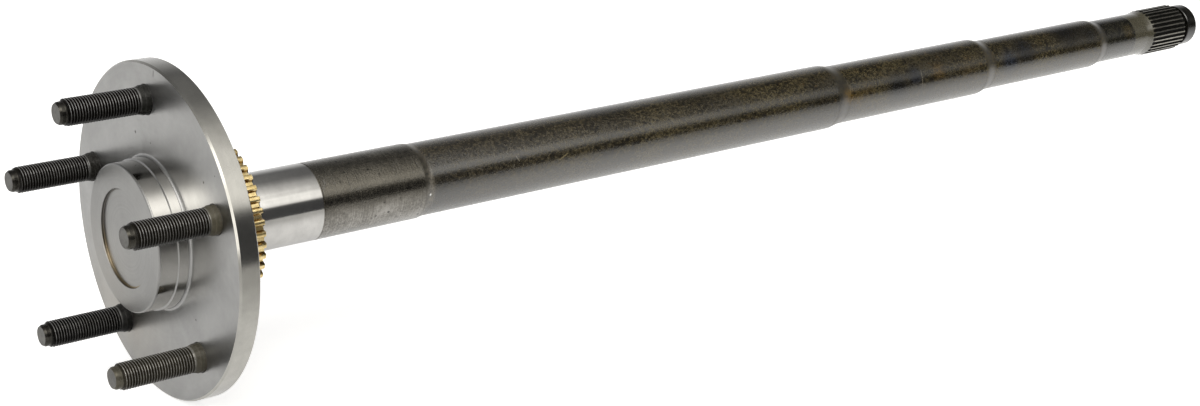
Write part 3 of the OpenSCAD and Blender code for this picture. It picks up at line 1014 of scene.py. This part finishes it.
def make_stud(i, material, phase):
    b = Builder()
    c = stud_centre(i)
    start = SHOULDER_LEN + SHOULDER_TAPER
    thread_end = STUD_LEN - LEAD_LEN
    lead = thread_end + LEAD_TAPER
    root_meets = thread_end + LEAD_TAPER * (THREAD_R - THREAD_ROOT_R) / (THREAD_R - LEAD_R)

    def limit(s):
        """The thread's outside, cut by the chamfer at the lead."""
        return THREAD_R - max(0.0, s - thread_end) * (THREAD_R - LEAD_R) / LEAD_TAPER

    def thread_point(turns, r, col):
        """A point of the thread, which fades in over the first turn past the shoulder."""
        a = TURN * (col / STUD_SEGMENTS + phase)
        s = start + (turns + col / STUD_SEGMENTS) * THREAD_PITCH
        s = min(max(s, start), root_meets)
        fade = min(1.0, (s - start) / THREAD_PITCH)
        r = min(THREAD_R - (THREAD_R - r) * fade, limit(s))
        return Vector((c[0] + r * math.cos(a), -s, c[1] + r * math.sin(a))) * MM

    head_end = FLANGE_T + HEAD_T
    round_y = SHOULDER_ROUND - SHOULDER_LEN
    head = [
        (0, head_end), (HEAD_R - HEAD_BREAK, head_end), (HEAD_R, head_end - HEAD_BREAK),
        (HEAD_R, FLANGE_T + HEAD_FOOT_BREAK), (HEAD_R - HEAD_FOOT_BREAK, FLANGE_T), (SHOULDER_R, FLANGE_T),
        (SHOULDER_R, round_y),
        *arc((SHOULDER_R - SHOULDER_ROUND, round_y), SHOULDER_ROUND, 0, -60, SHOULDER_STEPS),
        (THREAD_R, -start),
    ]
    b.lathe(head, STUD_SEGMENTS, 0, c)
    rows = thread_rows(start, root_meets)
    columns = range(STUD_SEGMENTS + 1)
    grid = [[b.bm.verts.new(thread_point(t, r, col)) for col in columns] for t, r in rows]
    for row, below in zip(grid, grid[1:]):
        for col in range(STUD_SEGMENTS):
            b.face((row[col], row[col + 1], below[col + 1], below[col]), 0)
    b.lathe(
        [(THREAD_ROOT_R, -root_meets), (LEAD_R, -lead), (LEAD_R, TIP_CHAMFER - STUD_LEN), (TIP_R, -STUD_LEN),
         (0, -STUD_LEN)],
        STUD_SEGMENTS, 0, c)
    bmesh.ops.remove_doubles(b.bm, verts=b.bm.verts, dist=THREAD_MERGE)
    bmesh.ops.dissolve_degenerate(b.bm, edges=b.bm.edges, dist=MERGE)
    b.finish(f"threaded_stud_{i + 1}", [material], f"wheel_stud_{i + 1}")


# Studio and camera

# Floor in metres: its sides in X and Y, and the X between which it fades out of reflections
FLOOR_X = (-2.5, 0.40)
FLOOR_Y = (-2.5, 3.5)
FLOOR_FADE = (0.07, 0.25)
FLOOR_TONE = (0.78, 0.78, 0.78)
FLOOR_GLOW = 0.69
FLOOR_MIRRORED = 0.64


def make_floor():
    """Pale floor under the flange. It glows for the camera and in reflections, and keeps the shadow."""
    low = -FLANGE_R * MM
    (left, right), (front, back) = FLOOR_X, FLOOR_Y
    corners = [(left, front, low), (right, front, low), (right, back, low), (left, back, low)]
    mesh = bpy.data.meshes.new("floor")
    mesh.from_pydata(corners, [], [(0, 1, 2, 3)])
    floor = bpy.data.objects.new("floor", mesh)
    bpy.context.scene.collection.objects.link(floor)
    material = bpy.data.materials.new("pale_floor")
    material.use_nodes = True
    n = Nodes(material.node_tree)
    camera, glossy = n.seen_rays()
    x = n.split(n.node("ShaderNodeTexCoord", {}, "Object"))[0]
    mirrored = n.mul(glossy, n.mul(n.step(x, FLOOR_FADE[1], FLOOR_FADE[0]), FLOOR_MIRRORED))
    level = n.mul(n.math("MAXIMUM", camera, mirrored), FLOOR_GLOW)
    glow = n.node("ShaderNodeEmission", {"Strength": level})
    matt = n.node("ShaderNodeBsdfDiffuse", {"Color": FLOOR_TONE})
    n.show("ShaderNodeOutputMaterial", n.node("ShaderNodeAddShader", {0: glow, 1: matt}))
    mesh.materials.append(material)


# Brightness of the room, a long softbox, the glow above it, a lamp in front of the flange
# and a lamp that catches the front edges, by the angle about the shaft: 0 is +X, 90 is up
ROOM = [
    (-180, 0.6), (-95, 0.6), (-60, 0.09), (0, 0.075), (20, 0.08), (60, 0.10), (105, 0.12), (140, 0.13),
    (180, 0.6),
]
SOFTBOX = [(26, 0.0), (30, 0.06), (33, 1.0), (40, 1.27), (52, 1.12), (58, 0.25), (63, 0.0)]
HALO = [
    (50, 0.0), (58, 1.1), (66, 1.4), (77, 0.92), (89, 0.62), (101, 0.28), (113, 0.10), (137, 0.06),
    (150, 0.0),
]
FRONT = [(27, 0.0), (38, 0.8), (46, 1.0), (60, 1.0), (68, 0.55), (80, 0.0)]
EDGE = [(-40, 0.0), (-20, 1.0), (80, 1.0), (96, 0.0)]
# How strong each is by how far a ray points along the shaft: 0 is straight across, 1 is towards the spline
ROOM_ALONG = [
    (-1.0, 1.0), (0.455, 1.0), (0.476, 1.45), (0.50, 0.6), (0.57, 0.35), (0.63, 0.2), (0.80, 0.16),
    (0.88, 0.9), (0.94, 1.2), (0.985, 1.8), (1.0, 1.8),
]
SOFTBOX_ALONG = [
    (-1.0, 1.3), (0.40, 1.4), (0.455, 1.35), (0.48, 1.15), (0.51, 1.0), (0.58, 0.78), (0.65, 0.48),
    (0.72, 0.18), (0.76, 0.07), (0.80, 0.03), (1.0, 0.0),
]
HALO_ALONG = [
    (-1.0, 0.6), (0.0, 0.6), (0.30, 1.35), (0.455, 1.30), (0.477, 0.72), (0.51, 0.07), (0.60, 0.03),
    (1.0, 0.02),
]
FRONT_ALONG = [(-0.75, 0.0), (-0.6, 3.5), (-0.25, 3.5), (-0.1, 0.0)]
EDGE_ALONG = [(-0.97, 0.0), (-0.93, 2.2), (-0.81, 2.2), (-0.77, 0.0)]
# The softbox and its glow lean by these degrees from straight across to the spline
SOFTBOX_LEAN = 22.0
SOFTBOX_TINT = (1.0, 0.98, 0.93)
ROOM_TINT = (1.0, 1.0, 1.0)
# White backdrop on the left: its soft upper edge, where it is full, and how much further up it reaches
# along the shaft, in degrees
BACKDROP_TOP = 138.0
BACKDROP_FULL = 206.0
BACKDROP_RISE = [(-1.0, 0.0), (0.45, 0.0), (0.58, 25.0), (1.0, 25.0)]


def make_studio():
    """A dim room with a softbox on the upper right and a white backdrop, all white for the camera."""
    world = bpy.data.worlds.new("studio")
    bpy.context.scene.world = world
    world.use_nodes = True
    n = Nodes(world.node_tree)

    def look_up(value, table, low, high):
        """Finds the level of a value between low and high in a table of (value, level)."""
        top = max(level for _, level in table)
        ramp = n.tree.nodes.new("ShaderNodeValToRGB")
        n.put(ramp.inputs["Fac"], n.math("DIVIDE", n.math("SUBTRACT", value, low), high - low))
        stops = ramp.color_ramp.elements
        while len(stops) < len(table):
            stops.new(0.5)
        for stop, (v, level) in zip(stops, table):
            stop.position = (v - low) / (high - low)
            stop.color = (level / top, level / top, level / top, 1)
        return n.mul(ramp.outputs["Color"], top)

    x, y, z = n.split(n.node("ShaderNodeTexCoord", {}, "Generated"))
    angle = n.mul(n.math("ARCTAN2", z, x), 180 / math.pi)
    lean = n.add(angle, n.mul(y, SOFTBOX_LEAN))

    def light(about, around, along):
        """A light that is given by a table around the shaft and one along it."""
        turned = n.math("WRAP", about, 180.0, -180.0)
        return n.mul(look_up(turned, around, -180, 180), look_up(y, along, -1, 1))

    lamp = n.add(light(lean, SOFTBOX, SOFTBOX_ALONG), light(lean, HALO, HALO_ALONG))
    lamp = n.add(lamp, light(angle, FRONT, FRONT_ALONG))
    lamp = n.add(lamp, light(angle, EDGE, EDGE_ALONG))

    camera, glossy = n.seen_rays()
    left = n.add(n.math("WRAP", angle, 270.0, -90.0), look_up(y, BACKDROP_RISE, -1, 1))
    below_top = n.math("SUBTRACT", left, BACKDROP_TOP)
    backdrop = n.math("DIVIDE", below_top, BACKDROP_FULL - BACKDROP_TOP, clamp=True)
    white = n.math("MAXIMUM", camera, n.mul(glossy, backdrop))
    rest = n.math("SUBTRACT", 1.0, white)
    room = n.add(n.mul(light(angle, ROOM, ROOM_ALONG), rest), white)
    plain = n.node("ShaderNodeBackground", {"Color": ROOM_TINT, "Strength": room})
    warm = n.node("ShaderNodeBackground", {"Color": SOFTBOX_TINT, "Strength": n.mul(lamp, rest)})
    n.show("ShaderNodeOutputWorld", n.node("ShaderNodeAddShader", {0: plain, 1: warm}))


# Camera: place in metres, angles in degrees, lens and sensor in millimetres, shift as a share of the width
CAMERA_PLACE = (0.965294, -0.467916, 0.310834)
CAMERA_AZIMUTH = 51.835
CAMERA_ELEVATION = 15.866
CAMERA_ROLL = -0.552
CAMERA_LENS = 64.007
CAMERA_SENSOR = 36.0
CAMERA_SHIFT = (-0.5 / 1200, 0.75 / 1200)
CAMERA_CLIP = 0.01


def make_camera():
    """The photo's camera, from where it stands and how it is turned."""
    a, e, r = rad(CAMERA_AZIMUTH, CAMERA_ELEVATION, CAMERA_ROLL)
    back = Vector((math.sin(a) * math.cos(e), -math.cos(a) * math.cos(e), math.sin(e)))
    right = Vector((math.cos(a), math.sin(a), 0))
    up = back.cross(right)
    right, up = math.cos(r) * right + math.sin(r) * up, -math.sin(r) * right + math.cos(r) * up
    data = bpy.data.cameras.new("photo_camera")
    data.sensor_fit = "HORIZONTAL"
    data.sensor_width = CAMERA_SENSOR
    data.lens = CAMERA_LENS
    data.shift_x, data.shift_y = CAMERA_SHIFT
    data.clip_start = CAMERA_CLIP
    camera = bpy.data.objects.new("photo_camera", data)
    bpy.context.scene.collection.objects.link(camera)
    turn = Matrix((right, up, back)).transposed().to_4x4()
    camera.matrix_world = Matrix.Translation(CAMERA_PLACE) @ turn
    bpy.context.scene.camera = camera


def main():
    bpy.context.scene.view_settings.view_transform = "Standard"
    make_camera()
    make_studio()
    make_floor()
    # In the order of the material numbers above
    make_axle_shaft([
        face_steel(), wall_steel(), ground_journal(),
        forged_scale("forged_scale", oil=0.7, dull=0.0), forged_scale("taper_scale", oil=0.4, dull=0.1),
        splined_steel(), groove_painted_shade(), black_end(),
    ])
    make_tone_ring(zinc_gold())
    for i in range(STUD_COUNT):
        make_stud(i, black_oxide(i), phase=STUD_PHASE * i)


main()
